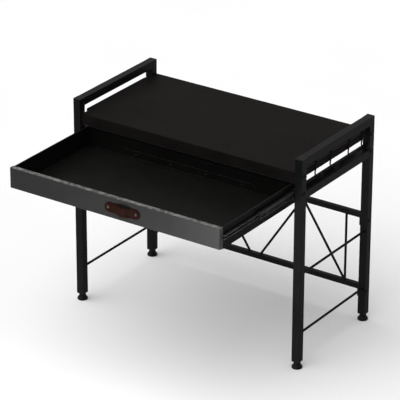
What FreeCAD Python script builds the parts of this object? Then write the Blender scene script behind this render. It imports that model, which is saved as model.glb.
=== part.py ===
import FreeCAD, Part
import math
import os

from FreeCAD import Vector

# Microwave stand with one drawer: a frame of square steel tube, a folded steel shelf,
# a steel drawer on three-section ball-bearing slides, four swinging S-hooks and four
# levelling feet.  Millimetres, +Z up, front towards -Y, drawer drawn out at rest.
# The solids are laid out about the middle of the four posts at floor level and moved
# to the middle of the whole object's footprint when they are written.

# ---- overall sizes -------------------------------------------------------------------
WIDTH = 650.0
DEPTH = 320.0
HEIGHT = 540.0
FOOT_HEIGHT = 20.0

# ---- frame tube ----------------------------------------------------------------------
TUBE = 20.0
TUBE_WALL = 1.5
TUBE_CORNER = 1.0
TUBE_BORE_CORNER = 0.5
POST_X = (WIDTH - TUBE) / 2
POST_Y = (DEPTH - TUBE) / 2
INNER_X = WIDTH / 2 - TUBE
INNER_Y = DEPTH / 2 - TUBE
SLIDE_Z = 448.0
BAR = 13.0
UPPER_BAR_Z = 279.5
LOWER_BAR_Z = 88.5
SIDES = {"left": -1, "right": 1}
ENDS = {"front": -1, "rear": 1}

# ---- round bars ----------------------------------------------------------------------
ROD_RADIUS = 3.0
HOOK_ROD_RADIUS = 2.5
MID_ROD_Z = 241.0
LOW_ROD_Z = 87.0
HOOK_ROD_Z = 511.0
LATTICE_POST_X = 261.0
LATTICE_PITCH = 117.3
LATTICE_FOOT_X = 258.6
LATTICE_HEAD_GAP = 8.0
LATTICE_CLEARANCE = 0.3

# ---- shelf ---------------------------------------------------------------------------
SHELF_TOP = 503.0
SHELF_FRONT = -154.0
SHELF_REAR = 158.0
SHELF_SIDE_X = 314.0
SHELF_NOTCH_X = 304.5
SHELF_NOTCH_Y = 121.0
SHEET = 1.2
APRON_HEIGHT = 28.0
SHELF_EDGE_HEIGHT = 15.4
APRON_RETURN = 12.0
SHELF_EDGE_RADIUS = 1.5
STIFFENER_WIDTH = 44.0
STIFFENER_HEIGHT = 14.0
STIFFENER_LENGTH = 560.0
STIFFENER_ROWS = (-62.0, 66.0)

# ---- bolts of the knock-down joints --------------------------------------------------
BOLT_RADIUS = 3.0
BOLT_HOLE_RADIUS = 3.3
BOLT_HEAD_RADIUS = 5.0
BOLT_HEAD_HEIGHT = 2.8
BOLT_HEAD_EDGE = 2.0
BOLT_SOCKET = 4.0
BOLT_SOCKET_DEPTH = 1.8
BOLT_Y = 148.0
SHELF_BOLT_Z = 496.0
SLIDE_BOLT_Z = 452.0
UPPER_BAR_BOLT_Z = 270.0
LOWER_BAR_BOLT_Z = 78.5
SHELF_BOLT_LENGTH = 25.0
BAR_BOLT_LENGTH = 22.8
SLIDE_BOLT_LENGTH = 21.3
WELD_NUT_RADIUS = 4.4
WELD_NUT_LENGTH = 4.8
END_PLATE = 3.0
END_PLATE_WIDTH = 17.0
END_PLATE_DROP = 24.5

# ---- ball-bearing slides -------------------------------------------------------------
# Each section is the middle line of its rolled sheet, upper half only, as points of
# depth inwards from the tube's inner face and height above the slide's centre line.
SLIDE_DEPTH = 12.7
FIXED_WALL = 1.4
FIXED_LINE = ((0.7, 0), (0.7, 8.9), (2.3, 11.9), (7.4, 11.9), (8.5, 10.8), (8.5, 10.1))
FIXED_SPAN = (-155.0, 155.0)
MIDDLE_WALL = 1.0
MIDDLE_WEB = ((4.6, 0), (4.6, 3.2), (2.6, 5.2), (2.6, 7.5), (3.75, 8.65))
MIDDLE_LINE = MIDDLE_WEB + ((8.9, 8.65), (9.95, 7.6), (9.95, 6.9))
MIDDLE_SPAN = (-149.0, 149.0)
MIDDLE_SLOT_INSET = 28.0
MIDDLE_SLOT_LENGTH = 8.0
MIDDLE_SLOT_WIDTH = 5.0
MOVING_WALL = 1.2
MOVING_LINE = ((12.1, 0), (12.1, 4.4), (11.1, 5.4), (7.6, 5.4), (6.6, 4.6), (6.6, 2.8))
MOVING_SPAN = (-140.5, 149.5)
MOVING_SCREW_INSET = 22.0
SCREW_RADIUS = 2.0
SCREW_HEAD_RADIUS = 3.6
SCREW_HEAD_HEIGHT = 1.9
BALL_RADIUS = 0.85
BALLS_PER_ROW = 10
CAGE_THICKNESS = 0.5
CAGE_LENGTH = 130.0
CAGE_HOLE_RADIUS = 1.0
OUTER_CAGE_START = -144.0
OUTER_CAGE_HEIGHT = 10.175
OUTER_CAGE_DEPTH = (3.6, 7.6)
INNER_CAGE_START = -287.0
INNER_CAGE_HEIGHT = 7.075
INNER_CAGE_DEPTH = (5.8, 9.2)

# ---- drawer --------------------------------------------------------------------------
DRAWER_TRAVEL = 296.0
DRAWER_TOP = 471.5
DRAWER_BOTTOM = 418.5
FRONT_TOP = 473.0
FRONT_BOTTOM = 421.5
FRONT_HALF = 293.5
FRONT_FACE_SHUT = -153.0
FRONT_THICKNESS = 12.0
FRONT_EDGE_RADIUS = 1.0
DRAWER_DEPTH = 306.0
DRAWER_SIDE_TAIL = 7.0
REAR_FLANGE_HEIGHT = 18.9
REAR_FLANGE_HALF = 180.0
REAR_FLANGE_CHAMFER = 8.0
REAR_RIVET_FRACTIONS = (-0.84, -0.28, 0.28, 0.84)
SIDE_FLANGE = 10.0
HEM_HEIGHT = 12.0
FRONT_TAB = 11.0
TAB_GAP = 0.4
FRONT_RIVET_RISE = 8.0
FLOOR_RIVET_FRACTIONS = (0.12, 0.37, 0.63, 0.88)
RIVET_RADIUS = 1.6
RIVET_HEAD_RADIUS = 3.2
RIVET_HEAD_HEIGHT = 1.1

# ---- leather pull --------------------------------------------------------------------
STRAP_X = 28.3
STRAP_WIDTH = 24.0
STRAP_THICKNESS = 3.0
STRAP_STUD_SPACING = 77.0
STRAP_END = 10.0
STRAP_LEFT_FLAT = 16.0
STRAP_RIGHT_FLAT = 8.0
STRAP_BOW = 9.0
STUD_HEAD_RADIUS = 3.8
STUD_HEAD_HEIGHT = 1.6
STUD_RADIUS = 2.0
STUD_TAIL = 4.6
NUT_ACROSS = 8.0
NUT_HEIGHT = 3.2

# ---- S-hooks -------------------------------------------------------------------------
HOOK_WIRE_RADIUS = 1.75
HOOK_CLEARANCE = 0.3
HOOK_EYE_RADIUS = HOOK_ROD_RADIUS + HOOK_CLEARANCE + HOOK_WIRE_RADIUS
HOOK_BOWL_RADIUS = 10.0
HOOK_DROP = 28.0
HOOK_TIP_RISE = 6.0
HOOK_EYE_TAIL = 2.5
HOOK_LEAN = 8.3
HOOK_ROWS = (-89.0, -23.0, 57.0, 117.0)

# ---- levelling feet ------------------------------------------------------------------
PAD_RADIUS = 13.0
PAD_RIM_TOP = 4.2
PAD_FLARE_TOP = 10.5
PAD_EDGE = 1.4
NECK_RADIUS = 8.5
NECK_TOP = 17.7
INSERT_FLANGE = 2.0
INSERT_DEPTH = 20.0
STUD_THREAD_RADIUS = 4.0
STUD_BASE = 6.0
STUD_TOP = 52.0
INSERT_BORE_RADIUS = 4.05


def box(x_span, y_span, z_span):
    """Axis-aligned block between two limits on each axis, given in either order."""
    low = Vector(min(x_span), min(y_span), min(z_span))
    high = Vector(max(x_span), max(y_span), max(z_span))
    size = high - low
    return Part.makeBox(size.x, size.y, size.z, low)


def rod_between(start, end, radius):
    """Round bar from one point to another."""
    run = end - start
    return Part.makeCylinder(radius, run.Length, start, run)


def hexagon(centre, run, across_corners):
    """Hexagonal prism from a centre point along an axis-aligned run."""
    radius = across_corners / 2
    corners = [
        Vector(radius * math.cos(math.radians(60 * k)), radius * math.sin(math.radians(60 * k)), 0)
        for k in range(7)
    ]
    prism = Part.Face(Part.makePolygon(corners)).extrude(Vector(0, 0, run.Length))
    prism.Placement = FreeCAD.Placement(centre, FreeCAD.Rotation(Vector(0, 0, 1), run))
    return prism


def domed_head(radius, height):
    """Low dome on the XY plane, cut from a sphere."""
    sphere_radius = (radius**2 + height**2) / (2 * height)
    sphere = Part.makeSphere(sphere_radius, Vector(0, 0, height - sphere_radius))
    return sphere.common(Part.makeCylinder(2 * radius, 2 * height))


def rounded_square(side, radius):
    """Face of a square with rounded corners, centred on the origin in the XY plane."""
    half = side / 2
    straight = half - radius
    edges = []
    for turn in range(4):
        angle = turn * 90
        begin = Vector(half, -straight, 0)
        finish = Vector(half, straight, 0)
        centre = Vector(straight, straight, 0)
        corner_mid = centre + Vector(radius, radius, 0) * math.sqrt(0.5)
        line = Part.makeLine(begin, finish)
        arc = Part.Arc(finish, corner_mid, Vector(straight, half, 0)).toShape()
        for edge in (line, arc):
            edge.rotate(Vector(0, 0, 0), Vector(0, 0, 1), angle)
            edges.append(edge)
    return Part.Face(Part.Wire(edges))


def tube_between(start, end, width=TUBE, closed_end=False):
    """Square tube from start to end along one axis; the far end can be plated shut."""
    run = end - start
    outer = rounded_square(width, TUBE_CORNER).extrude(Vector(0, 0, run.Length))
    bore_side = width - 2 * TUBE_WALL
    bore_length = run.Length - (TUBE_WALL if closed_end else 0)
    bore = rounded_square(bore_side, TUBE_BORE_CORNER).extrude(Vector(0, 0, bore_length))
    tube = outer.cut(bore)
    tube.Placement = FreeCAD.Placement(start, FreeCAD.Rotation(Vector(0, 0, 1), run))
    return tube


def mirrored(shape, side):
    """The right-hand shape itself for side 1, its mirror image for side -1."""
    if side > 0:
        return shape
    return shape.mirror(Vector(0, 0, 0), Vector(1, 0, 0))


def extruded_along_y(points, y_span):
    """Prism whose section is a polygon of (x, z) points, between two y limits."""
    corners = [Vector(x, y_span[0], z) for x, z in points]
    face = Part.Face(Part.makePolygon(corners + corners[:1]))
    return face.extrude(Vector(0, y_span[1] - y_span[0], 0))


def bolt_heights(end):
    """Heights of the bolts through a post at one end of the stand."""
    heights = [SHELF_BOLT_Z, SLIDE_BOLT_Z]
    if end > 0:
        heights += [UPPER_BAR_BOLT_Z, LOWER_BAR_BOLT_Z]
    return heights


# ---- frame ---------------------------------------------------------------------------
def post(side, end):
    """Upright tube, plated shut on top, with a through hole for each of its bolts."""
    foot = Vector(side * POST_X, end * POST_Y, FOOT_HEIGHT)
    tube = tube_between(foot, Vector(foot.x, foot.y, HEIGHT), closed_end=True)
    for z in bolt_heights(end):
        start = Vector(side * (INNER_X - 1), end * BOLT_Y, z)
        tube = tube.cut(rod_between(start, start + Vector(side * (TUBE + 2), 0, 0), BOLT_HOLE_RADIUS))
    return tube


def side_tube(side, z):
    """Tube between the two posts of one side frame, centred at height z."""
    x = side * POST_X
    return tube_between(Vector(x, -INNER_Y, z), Vector(x, INNER_Y, z))


def side_rod(side, z, radius=ROD_RADIUS):
    """Thin rod between the two posts of one side frame."""
    x = side * POST_X
    return rod_between(Vector(x, -INNER_Y, z), Vector(x, INNER_Y, z), radius)


def rear_bar(z):
    """Tube across the back, between the plates welded on its ends."""
    reach = INNER_X - END_PLATE
    return tube_between(Vector(-reach, POST_Y, z), Vector(reach, POST_Y, z), width=BAR)


def end_plates():
    """Plates on the ends of both rear bars, each tapped for its bolt below the bar."""
    plates = []
    for bar_z, bolt_z in ((UPPER_BAR_Z, UPPER_BAR_BOLT_Z), (LOWER_BAR_Z, LOWER_BAR_BOLT_Z)):
        for side in SIDES.values():
            x_span = (side * (INNER_X - END_PLATE), side * INNER_X)
            y_span = (POST_Y - END_PLATE_WIDTH / 2, POST_Y + END_PLATE_WIDTH / 2)
            plate = box(x_span, y_span, (bar_z - END_PLATE_DROP, bar_z + BAR / 2))
            start = Vector(x_span[0] - side, BOLT_Y, bolt_z)
            tapping = rod_between(start, start + Vector(side * (END_PLATE + 2), 0, 0), BOLT_RADIUS)
            plates.append(plate.cut(tapping))
    return plates


def lattice_post(side):
    """Upright rod of the rear lattice, between the two rear bars."""
    x = side * LATTICE_POST_X
    low = Vector(x, POST_Y, LOWER_BAR_Z + BAR / 2)
    return rod_between(low, Vector(x, POST_Y, UPPER_BAR_Z - BAR / 2), ROD_RADIUS)


def lattice_diagonal(foot_x, head_x):
    """Sloping rod of the rear lattice, trimmed to both rear bars and to the uprights."""
    low_z = LOWER_BAR_Z + BAR / 2
    high_z = UPPER_BAR_Z - BAR / 2
    low = Vector(foot_x, POST_Y, low_z)
    high = Vector(head_x, POST_Y, high_z)
    overrun = (high - low) * (2 * ROD_RADIUS / (high_z - low_z))
    rod = rod_between(low - overrun, high + overrun, ROD_RADIUS)
    reach = abs(head_x - foot_x) + 4 * ROD_RADIUS
    middle_x = (foot_x + head_x) / 2
    window = box(
        (middle_x - reach, middle_x + reach),
        (POST_Y - TUBE, POST_Y + TUBE),
        (low_z, high_z),
    )
    rod = rod.common(window)
    for side in SIDES.values():
        upright_foot = Vector(side * LATTICE_POST_X, POST_Y, low_z - 1)
        upright_head = Vector(side * LATTICE_POST_X, POST_Y, high_z + 1)
        rod = rod.cut(rod_between(upright_foot, upright_head, ROD_RADIUS + LATTICE_CLEARANCE))
    return rod


def threaded_inserts():
    """Flanged plugs closing the lower ends of the posts, bored for the levelling studs."""
    plug_side = TUBE - 2 * TUBE_WALL
    inserts = []
    for side in SIDES.values():
        for end in ENDS.values():
            plug = rounded_square(plug_side, TUBE_BORE_CORNER).extrude(Vector(0, 0, INSERT_DEPTH))
            flange = rounded_square(TUBE, TUBE_CORNER).extrude(Vector(0, 0, -INSERT_FLANGE))
            body = plug.fuse(flange).removeSplitter()
            bore_start = Vector(0, 0, -INSERT_FLANGE)
            bore_length = INSERT_DEPTH + INSERT_FLANGE
            body = body.cut(Part.makeCylinder(INSERT_BORE_RADIUS, bore_length, bore_start))
            body.translate(Vector(side * POST_X, end * POST_Y, FOOT_HEIGHT))
            inserts.append(body)
    return inserts


def button_head_bolt(side, y, z, length):
    """Button-head bolt driven from the outer face of a side frame towards the middle."""
    shank = Part.makeCylinder(BOLT_RADIUS, length)
    base = Part.makeCylinder(BOLT_HEAD_RADIUS, BOLT_HEAD_HEIGHT, Vector(0, 0, -BOLT_HEAD_HEIGHT))
    rim = [edge for edge in base.Edges if abs(edge.CenterOfMass.z + BOLT_HEAD_HEIGHT) < 0.01]
    head = base.makeFillet(BOLT_HEAD_EDGE, rim[:1])
    socket = hexagon(Vector(0, 0, -BOLT_HEAD_HEIGHT), Vector(0, 0, BOLT_SOCKET_DEPTH), BOLT_SOCKET)
    bolt = shank.fuse(head).cut(socket).removeSplitter()
    place = Vector(side * WIDTH / 2, y, z)
    bolt.Placement = FreeCAD.Placement(place, FreeCAD.Rotation(Vector(0, 0, 1), Vector(-side, 0, 0)))
    return bolt


def frame_bolts():
    """All bolts through the posts: shelf, slides and rear bars."""
    lengths = {
        SHELF_BOLT_Z: SHELF_BOLT_LENGTH,
        SLIDE_BOLT_Z: SLIDE_BOLT_LENGTH,
        UPPER_BAR_BOLT_Z: BAR_BOLT_LENGTH,
        LOWER_BAR_BOLT_Z: BAR_BOLT_LENGTH,
    }
    bolts = []
    for side in SIDES.values():
        for end in ENDS.values():
            for z in bolt_heights(end):
                bolts.append(button_head_bolt(side, end * BOLT_Y, z, lengths[z]))
    return bolts


# ---- shelf ---------------------------------------------------------------------------
def shelf_outline(inset):
    """Plan of the shelf: a rectangle with its four corners notched around the posts."""
    x_side = SHELF_SIDE_X - inset
    x_notch = SHELF_NOTCH_X - inset
    y_notch = SHELF_NOTCH_Y - inset
    front = SHELF_FRONT + inset
    rear = SHELF_REAR - inset
    right = [(x_notch, front), (x_notch, -y_notch), (x_side, -y_notch)]
    right += [(x_side, y_notch), (x_notch, y_notch), (x_notch, rear)]
    left = [(-x, y) for x, y in reversed(right)]
    return right + left


def plan_prism(points, z_low, z_high):
    """Prism on a plan outline between two heights."""
    corners = [Vector(x, y, z_low) for x, y in points]
    face = Part.Face(Part.makePolygon(corners + corners[:1]))
    return face.extrude(Vector(0, 0, z_high - z_low))


def shelf_panel():
    """Shelf folded from sheet: edges turned down, the front one deeper with a return."""
    edge_low = SHELF_TOP - SHELF_EDGE_HEIGHT
    apron_low = SHELF_TOP - APRON_HEIGHT
    tray = plan_prism(shelf_outline(0), edge_low, SHELF_TOP)
    apron = box(
        (-SHELF_NOTCH_X, SHELF_NOTCH_X),
        (SHELF_FRONT, SHELF_FRONT + SHEET),
        (apron_low, SHELF_TOP),
    )
    outside = tray.fuse(apron).removeSplitter()
    top_edges = [
        edge
        for edge in outside.Edges
        if all(abs(vertex.Z - SHELF_TOP) < 0.01 for vertex in edge.Vertexes)
    ]
    outside = outside.makeFillet(SHELF_EDGE_RADIUS, top_edges)
    hollow = plan_prism(shelf_outline(SHEET), edge_low - 1, SHELF_TOP - SHEET)
    folded = outside.cut(hollow)
    lip = box(
        (-SHELF_NOTCH_X, SHELF_NOTCH_X),
        (SHELF_FRONT, SHELF_FRONT + APRON_RETURN),
        (apron_low, apron_low + SHEET),
    )
    panel = folded.fuse(lip).removeSplitter()
    for side in SIDES.values():
        for end in ENDS.values():
            start = Vector(side * (SHELF_NOTCH_X - 2 * SHEET), end * BOLT_Y, SHELF_BOLT_Z)
            hole = rod_between(start, start + Vector(side * 3 * SHEET, 0, 0), BOLT_HOLE_RADIUS)
            panel = panel.cut(hole)
    return panel


def shelf_stiffeners():
    """Hat channels spot-welded under the shelf, running across it."""
    top = SHELF_TOP - SHEET
    half = STIFFENER_WIDTH / 2
    crown = STIFFENER_WIDTH / 4
    bottom = top - STIFFENER_HEIGHT
    channels = []
    for y in STIFFENER_ROWS:
        x_span = (-STIFFENER_LENGTH / 2, STIFFENER_LENGTH / 2)
        crown_plate = box(x_span, (y - crown, y + crown), (bottom, bottom + SHEET))
        webs = [box(x_span, (y + s * crown, y + s * (crown - SHEET)), (bottom, top)) for s in (-1, 1)]
        feet = [box(x_span, (y + s * crown, y + s * half), (top - SHEET, top)) for s in (-1, 1)]
        channels.append(crown_plate.multiFuse(webs + feet).removeSplitter())
    return channels


def weld_nuts():
    """Threaded bosses behind the notch flanges of the shelf."""
    nuts = []
    for side in SIDES.values():
        for end in ENDS.values():
            start = Vector(side * (SHELF_NOTCH_X - SHEET), end * BOLT_Y, SHELF_BOLT_Z)
            stop = start - Vector(side * WELD_NUT_LENGTH, 0, 0)
            boss = rod_between(start, stop, WELD_NUT_RADIUS)
            nuts.append(boss.cut(rod_between(start, stop, BOLT_RADIUS)))
    return nuts


# ---- slides --------------------------------------------------------------------------
def offset_line(points, distance):
    """Polyline at a distance beside another one, with mitred corners."""
    normals = []
    for (x0, z0), (x1, z1) in zip(points, points[1:]):
        length = math.hypot(x1 - x0, z1 - z0)
        normals.append(((z0 - z1) / length, (x1 - x0) / length))
    beside = []
    corner_normals = zip(normals[:1] + normals, normals + normals[-1:])
    for (x, z), (before, after) in zip(points, corner_normals):
        scale = distance / (1 + before[0] * after[0] + before[1] * after[1])
        beside.append((x + (before[0] + after[0]) * scale, z + (before[1] + after[1]) * scale))
    return beside


def rolled_member(half_line, wall, y_span):
    """Slide member of the right slide, from the upper half of its section's middle line."""
    lower = [(depth, -height) for depth, height in reversed(half_line[1:])]
    upper = list(half_line[1:])
    middle_line = [(INNER_X - depth, SLIDE_Z + height) for depth, height in lower + upper]
    outline = offset_line(middle_line, wall / 2)
    outline += reversed(offset_line(middle_line, -wall / 2))
    return extruded_along_y(outline, y_span)


def slide_fixed(side):
    """Outer member of a slide, bolted to the posts."""
    member = rolled_member(FIXED_LINE, FIXED_WALL, FIXED_SPAN)
    for end in ENDS.values():
        start = Vector(INNER_X + 1, end * BOLT_Y, SLIDE_BOLT_Z)
        member = member.cut(rod_between(start, start - Vector(FIXED_WALL + 2, 0, 0), BOLT_RADIUS))
    return mirrored(member, side)


def slide_middle(side):
    """Middle member of a slide, half drawn out with the drawer at rest."""
    y_span = [y - DRAWER_TRAVEL / 2 for y in MIDDLE_SPAN]
    member = rolled_member(MIDDLE_LINE, MIDDLE_WALL, y_span)
    reach = MIDDLE_SLOT_LENGTH / 2 - MIDDLE_SLOT_WIDTH / 2
    half = MIDDLE_SLOT_WIDTH / 2
    x_span = (INNER_X - SLIDE_DEPTH, INNER_X)
    for y in (y_span[0] + MIDDLE_SLOT_INSET, y_span[1] - MIDDLE_SLOT_INSET):
        slot = box(x_span, (y - reach, y + reach), (SLIDE_Z - half, SLIDE_Z + half))
        for end_y in (y - reach, y + reach):
            near = Vector(x_span[0], end_y, SLIDE_Z)
            slot = slot.fuse(rod_between(near, Vector(x_span[1], end_y, SLIDE_Z), half))
        member = member.cut(slot)
    return mirrored(member, side)


def moving_span():
    """Ends of the drawer member along y with the drawer drawn out."""
    return [y - DRAWER_TRAVEL for y in MOVING_SPAN]


def slide_screw_rows():
    """Places of the screws that hold a drawer member to its drawer side."""
    start, end = moving_span()
    return [start + MOVING_SCREW_INSET, (start + end) / 2, end - MOVING_SCREW_INSET]


def slide_moving(side):
    """Drawer member of a slide, a channel that opens towards the side frame."""
    member = rolled_member(MOVING_LINE, MOVING_WALL, moving_span())
    for y in slide_screw_rows():
        start = Vector(INNER_X - SLIDE_DEPTH - 1, y, SLIDE_Z)
        member = member.cut(rod_between(start, start + Vector(MOVING_WALL + 2, 0, 0), SCREW_RADIUS))
    return mirrored(member, side)


def ball_cage(side, y_start, depth_span, height):
    """Two ball retainers of one slide, above and below, each with its row of balls."""
    solids = []
    x_span = (INNER_X - depth_span[0], INNER_X - depth_span[1])
    x_ball = sum(x_span) / 2
    pitch = CAGE_LENGTH / BALLS_PER_ROW
    for sense in (-1, 1):
        z = SLIDE_Z + sense * height
        half = CAGE_THICKNESS / 2
        strip = box(x_span, (y_start, y_start + CAGE_LENGTH), (z - half, z + half))
        for k in range(BALLS_PER_ROW):
            centre = Vector(x_ball, y_start + pitch * (k + 0.5), z)
            lift = Vector(0, 0, CAGE_THICKNESS)
            strip = strip.cut(rod_between(centre - lift, centre + lift, CAGE_HOLE_RADIUS))
            solids.append(mirrored(Part.makeSphere(BALL_RADIUS, centre), side))
        solids.append(mirrored(strip, side))
    return solids


def outer_cage(side):
    """Retainers between the fixed and the middle member."""
    return ball_cage(side, OUTER_CAGE_START, OUTER_CAGE_DEPTH, OUTER_CAGE_HEIGHT)


def inner_cage(side):
    """Retainers between the middle and the drawer member."""
    return ball_cage(side, INNER_CAGE_START, INNER_CAGE_DEPTH, INNER_CAGE_HEIGHT)


# ---- drawer --------------------------------------------------------------------------
FRONT_FACE = FRONT_FACE_SHUT - DRAWER_TRAVEL
FRONT_BACK = FRONT_FACE + FRONT_THICKNESS
DRAWER_BACK = FRONT_FACE + DRAWER_DEPTH
SIDE_FACE = INNER_X - SLIDE_DEPTH
SIDE_INNER = SIDE_FACE - SHEET
FLOOR_TOP = DRAWER_BOTTOM + 2 * SHEET


def drawer_front():
    """Front pan: a face with its four edges turned back."""
    outer = box((-FRONT_HALF, FRONT_HALF), (FRONT_FACE, FRONT_BACK), (FRONT_BOTTOM, FRONT_TOP))
    rim = [
        edge
        for edge in outer.Edges
        if all(abs(vertex.Y - FRONT_FACE) < 0.01 for vertex in edge.Vertexes)
    ]
    outer = outer.makeFillet(FRONT_EDGE_RADIUS, rim)
    inner = box(
        (-FRONT_HALF + SHEET, FRONT_HALF - SHEET),
        (FRONT_FACE + SHEET, FRONT_BACK + 1),
        (FRONT_BOTTOM + SHEET, FRONT_TOP - SHEET),
    )
    pan = outer.cut(inner)
    for x in stud_rows():
        start = Vector(x, FRONT_FACE - 1, SLIDE_Z)
        pan = pan.cut(rod_between(start, start + Vector(0, SHEET + 2, 0), STUD_RADIUS))
    return pan


def drawer_front_liner():
    """Inner plate that closes the back of the front pan."""
    plate = box(
        (-FRONT_HALF + SHEET, FRONT_HALF - SHEET),
        (FRONT_BACK - SHEET, FRONT_BACK),
        (FRONT_BOTTOM + SHEET, FRONT_TOP - SHEET),
    )
    for place in front_rivet_places():
        start = place - Vector(0, 3 * SHEET, 0)
        plate = plate.cut(rod_between(start, place + Vector(0, SHEET, 0), RIVET_RADIUS))
    return plate


def front_rivet_places():
    """Rivets through the side tabs and the liner, at the liner's inner face."""
    x = SIDE_INNER - FRONT_TAB / 2
    heights = (SLIDE_Z - FRONT_RIVET_RISE, SLIDE_Z + FRONT_RIVET_RISE)
    return [Vector(side * x, FRONT_BACK, z) for side in SIDES.values() for z in heights]


def floor_rivet_places():
    """Rivets through the floor and the side flanges, at the floor's upper face."""
    x = SIDE_INNER - SIDE_FLANGE / 2
    span = DRAWER_BACK - FRONT_BACK
    rows = [FRONT_BACK + span * fraction for fraction in FLOOR_RIVET_FRACTIONS]
    return [Vector(side * x, y, FLOOR_TOP) for side in SIDES.values() for y in rows]


def drawer_side(side):
    """Drawer side: upright sheet, hemmed top, floor flange and a tab on the front."""
    y_span = (FRONT_BACK, DRAWER_BACK + DRAWER_SIDE_TAIL)
    web = box((SIDE_INNER, SIDE_FACE), y_span, (DRAWER_BOTTOM, DRAWER_TOP))
    hem = box((SIDE_INNER - SHEET, SIDE_INNER), y_span, (DRAWER_TOP - HEM_HEIGHT, DRAWER_TOP))
    flange_x = (SIDE_INNER - SIDE_FLANGE, SIDE_INNER)
    flange = box(flange_x, y_span, (DRAWER_BOTTOM, DRAWER_BOTTOM + SHEET))
    tab = box(
        (SIDE_INNER - FRONT_TAB, SIDE_INNER),
        (FRONT_BACK, FRONT_BACK + SHEET),
        (FLOOR_TOP + TAB_GAP, DRAWER_TOP - HEM_HEIGHT),
    )
    panel = web.multiFuse([hem, flange, tab]).removeSplitter()
    for place in floor_rivet_places():
        if place.x > 0:
            start = Vector(place.x, place.y, DRAWER_BOTTOM - 1)
            panel = panel.cut(rod_between(start, start + Vector(0, 0, SHEET + 2), RIVET_RADIUS))
    for place in front_rivet_places():
        if place.x > 0:
            start = Vector(place.x, place.y - 1, place.z)
            panel = panel.cut(rod_between(start, start + Vector(0, SHEET + 2, 0), RIVET_RADIUS))
    for y in slide_screw_rows():
        start = Vector(SIDE_FACE + 1, y, SLIDE_Z)
        panel = panel.cut(rod_between(start, start - Vector(SHEET + 2, 0, 0), SCREW_RADIUS))
    return mirrored(panel, side)


def rear_rivet_places():
    """Rivets through the floor's rear flange and the back, at the flange's front face."""
    z = FLOOR_TOP - SHEET + REAR_FLANGE_HEIGHT / 2
    y = DRAWER_BACK - 2 * SHEET
    return [Vector(REAR_FLANGE_HALF * fraction, y, z) for fraction in REAR_RIVET_FRACTIONS]


def rear_rivet_holes():
    """Round holes of the rear rivets, through the flange and the back."""
    reach = Vector(0, 2 * SHEET + 2, 0)
    starts = [place - Vector(0, 1, 0) for place in rear_rivet_places()]
    return [rod_between(start, start + reach, RIVET_RADIUS) for start in starts]


def drawer_floor():
    """Drawer floor on the side flanges, turned up at the rear against the back."""
    x_span = (-SIDE_INNER, SIDE_INNER)
    bottom = FLOOR_TOP - SHEET
    plate = box(x_span, (FRONT_BACK, DRAWER_BACK - SHEET), (bottom, FLOOR_TOP))
    for place in floor_rivet_places():
        start = place - Vector(0, 0, SHEET + 1)
        plate = plate.cut(rod_between(start, start + Vector(0, 0, SHEET + 2), RIVET_RADIUS))
    y = DRAWER_BACK - 2 * SHEET
    foot = REAR_FLANGE_HALF + REAR_FLANGE_CHAMFER
    top = bottom + REAR_FLANGE_HEIGHT
    corner = top - REAR_FLANGE_CHAMFER
    half = [(foot, bottom), (foot, corner), (REAR_FLANGE_HALF, top)]
    outline = half + [(-x, z) for x, z in reversed(half)]
    points = [Vector(x, y, z) for x, z in outline + outline[:1]]
    flange = Part.Face(Part.makePolygon(points)).extrude(Vector(0, SHEET, 0))
    for hole in rear_rivet_holes():
        flange = flange.cut(hole)
    return plate.fuse(flange).removeSplitter()


def drawer_back():
    """Back of the drawer, between the sides and clear of their hems, hemmed at its top."""
    clear = SIDE_INNER - SHEET
    wall_y = (DRAWER_BACK - SHEET, DRAWER_BACK)
    hem_foot = DRAWER_TOP - HEM_HEIGHT
    low = box((-SIDE_INNER, SIDE_INNER), wall_y, (FLOOR_TOP - SHEET, hem_foot))
    high = box((-clear, clear), wall_y, (hem_foot, DRAWER_TOP))
    hem_y = (DRAWER_BACK - 2 * SHEET, DRAWER_BACK - SHEET)
    hem = box((-clear, clear), hem_y, (hem_foot, DRAWER_TOP))
    back = low.multiFuse([high, hem]).removeSplitter()
    for hole in rear_rivet_holes():
        back = back.cut(hole)
    return back


def domed_rivet(head_at, direction, grip):
    """Rivet whose head sits on a face and whose shank runs into the sheets below."""
    head = domed_head(RIVET_HEAD_RADIUS, RIVET_HEAD_HEIGHT)
    shank = Part.makeCylinder(RIVET_RADIUS, grip, Vector(0, 0, -grip))
    rivet = head.fuse(shank).removeSplitter()
    rivet.Placement = FreeCAD.Placement(head_at, FreeCAD.Rotation(Vector(0, 0, 1), direction))
    return rivet


def drawer_rivets():
    """Blind rivets of the drawer: floor to sides and back, and sides to front."""
    rivets = [domed_rivet(place, Vector(0, 0, 1), 2 * SHEET) for place in floor_rivet_places()]
    rivets += [domed_rivet(place, Vector(0, -1, 0), 2 * SHEET) for place in rear_rivet_places()]
    for place in front_rivet_places():
        head_at = place + Vector(0, SHEET, 0)
        rivets.append(domed_rivet(head_at, Vector(0, 1, 0), 2 * SHEET))
    return rivets


def slide_screws():
    """Pan-head screws from inside each drawer member into its drawer side."""
    screws = []
    for side in SIDES.values():
        for y in slide_screw_rows():
            seat = Vector(side * (SIDE_FACE + MOVING_WALL), y, SLIDE_Z)
            outward = Vector(side, 0, 0)
            shank = rod_between(seat - outward * (MOVING_WALL + SHEET), seat, SCREW_RADIUS)
            head = rod_between(seat, seat + outward * SCREW_HEAD_HEIGHT, SCREW_HEAD_RADIUS)
            screws.append(shank.fuse(head).removeSplitter())
    return screws


# ---- leather pull --------------------------------------------------------------------
def stud_rows():
    """Places of the two studs of the pull along x."""
    return [STRAP_X - STRAP_STUD_SPACING / 2, STRAP_X + STRAP_STUD_SPACING / 2]


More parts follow.
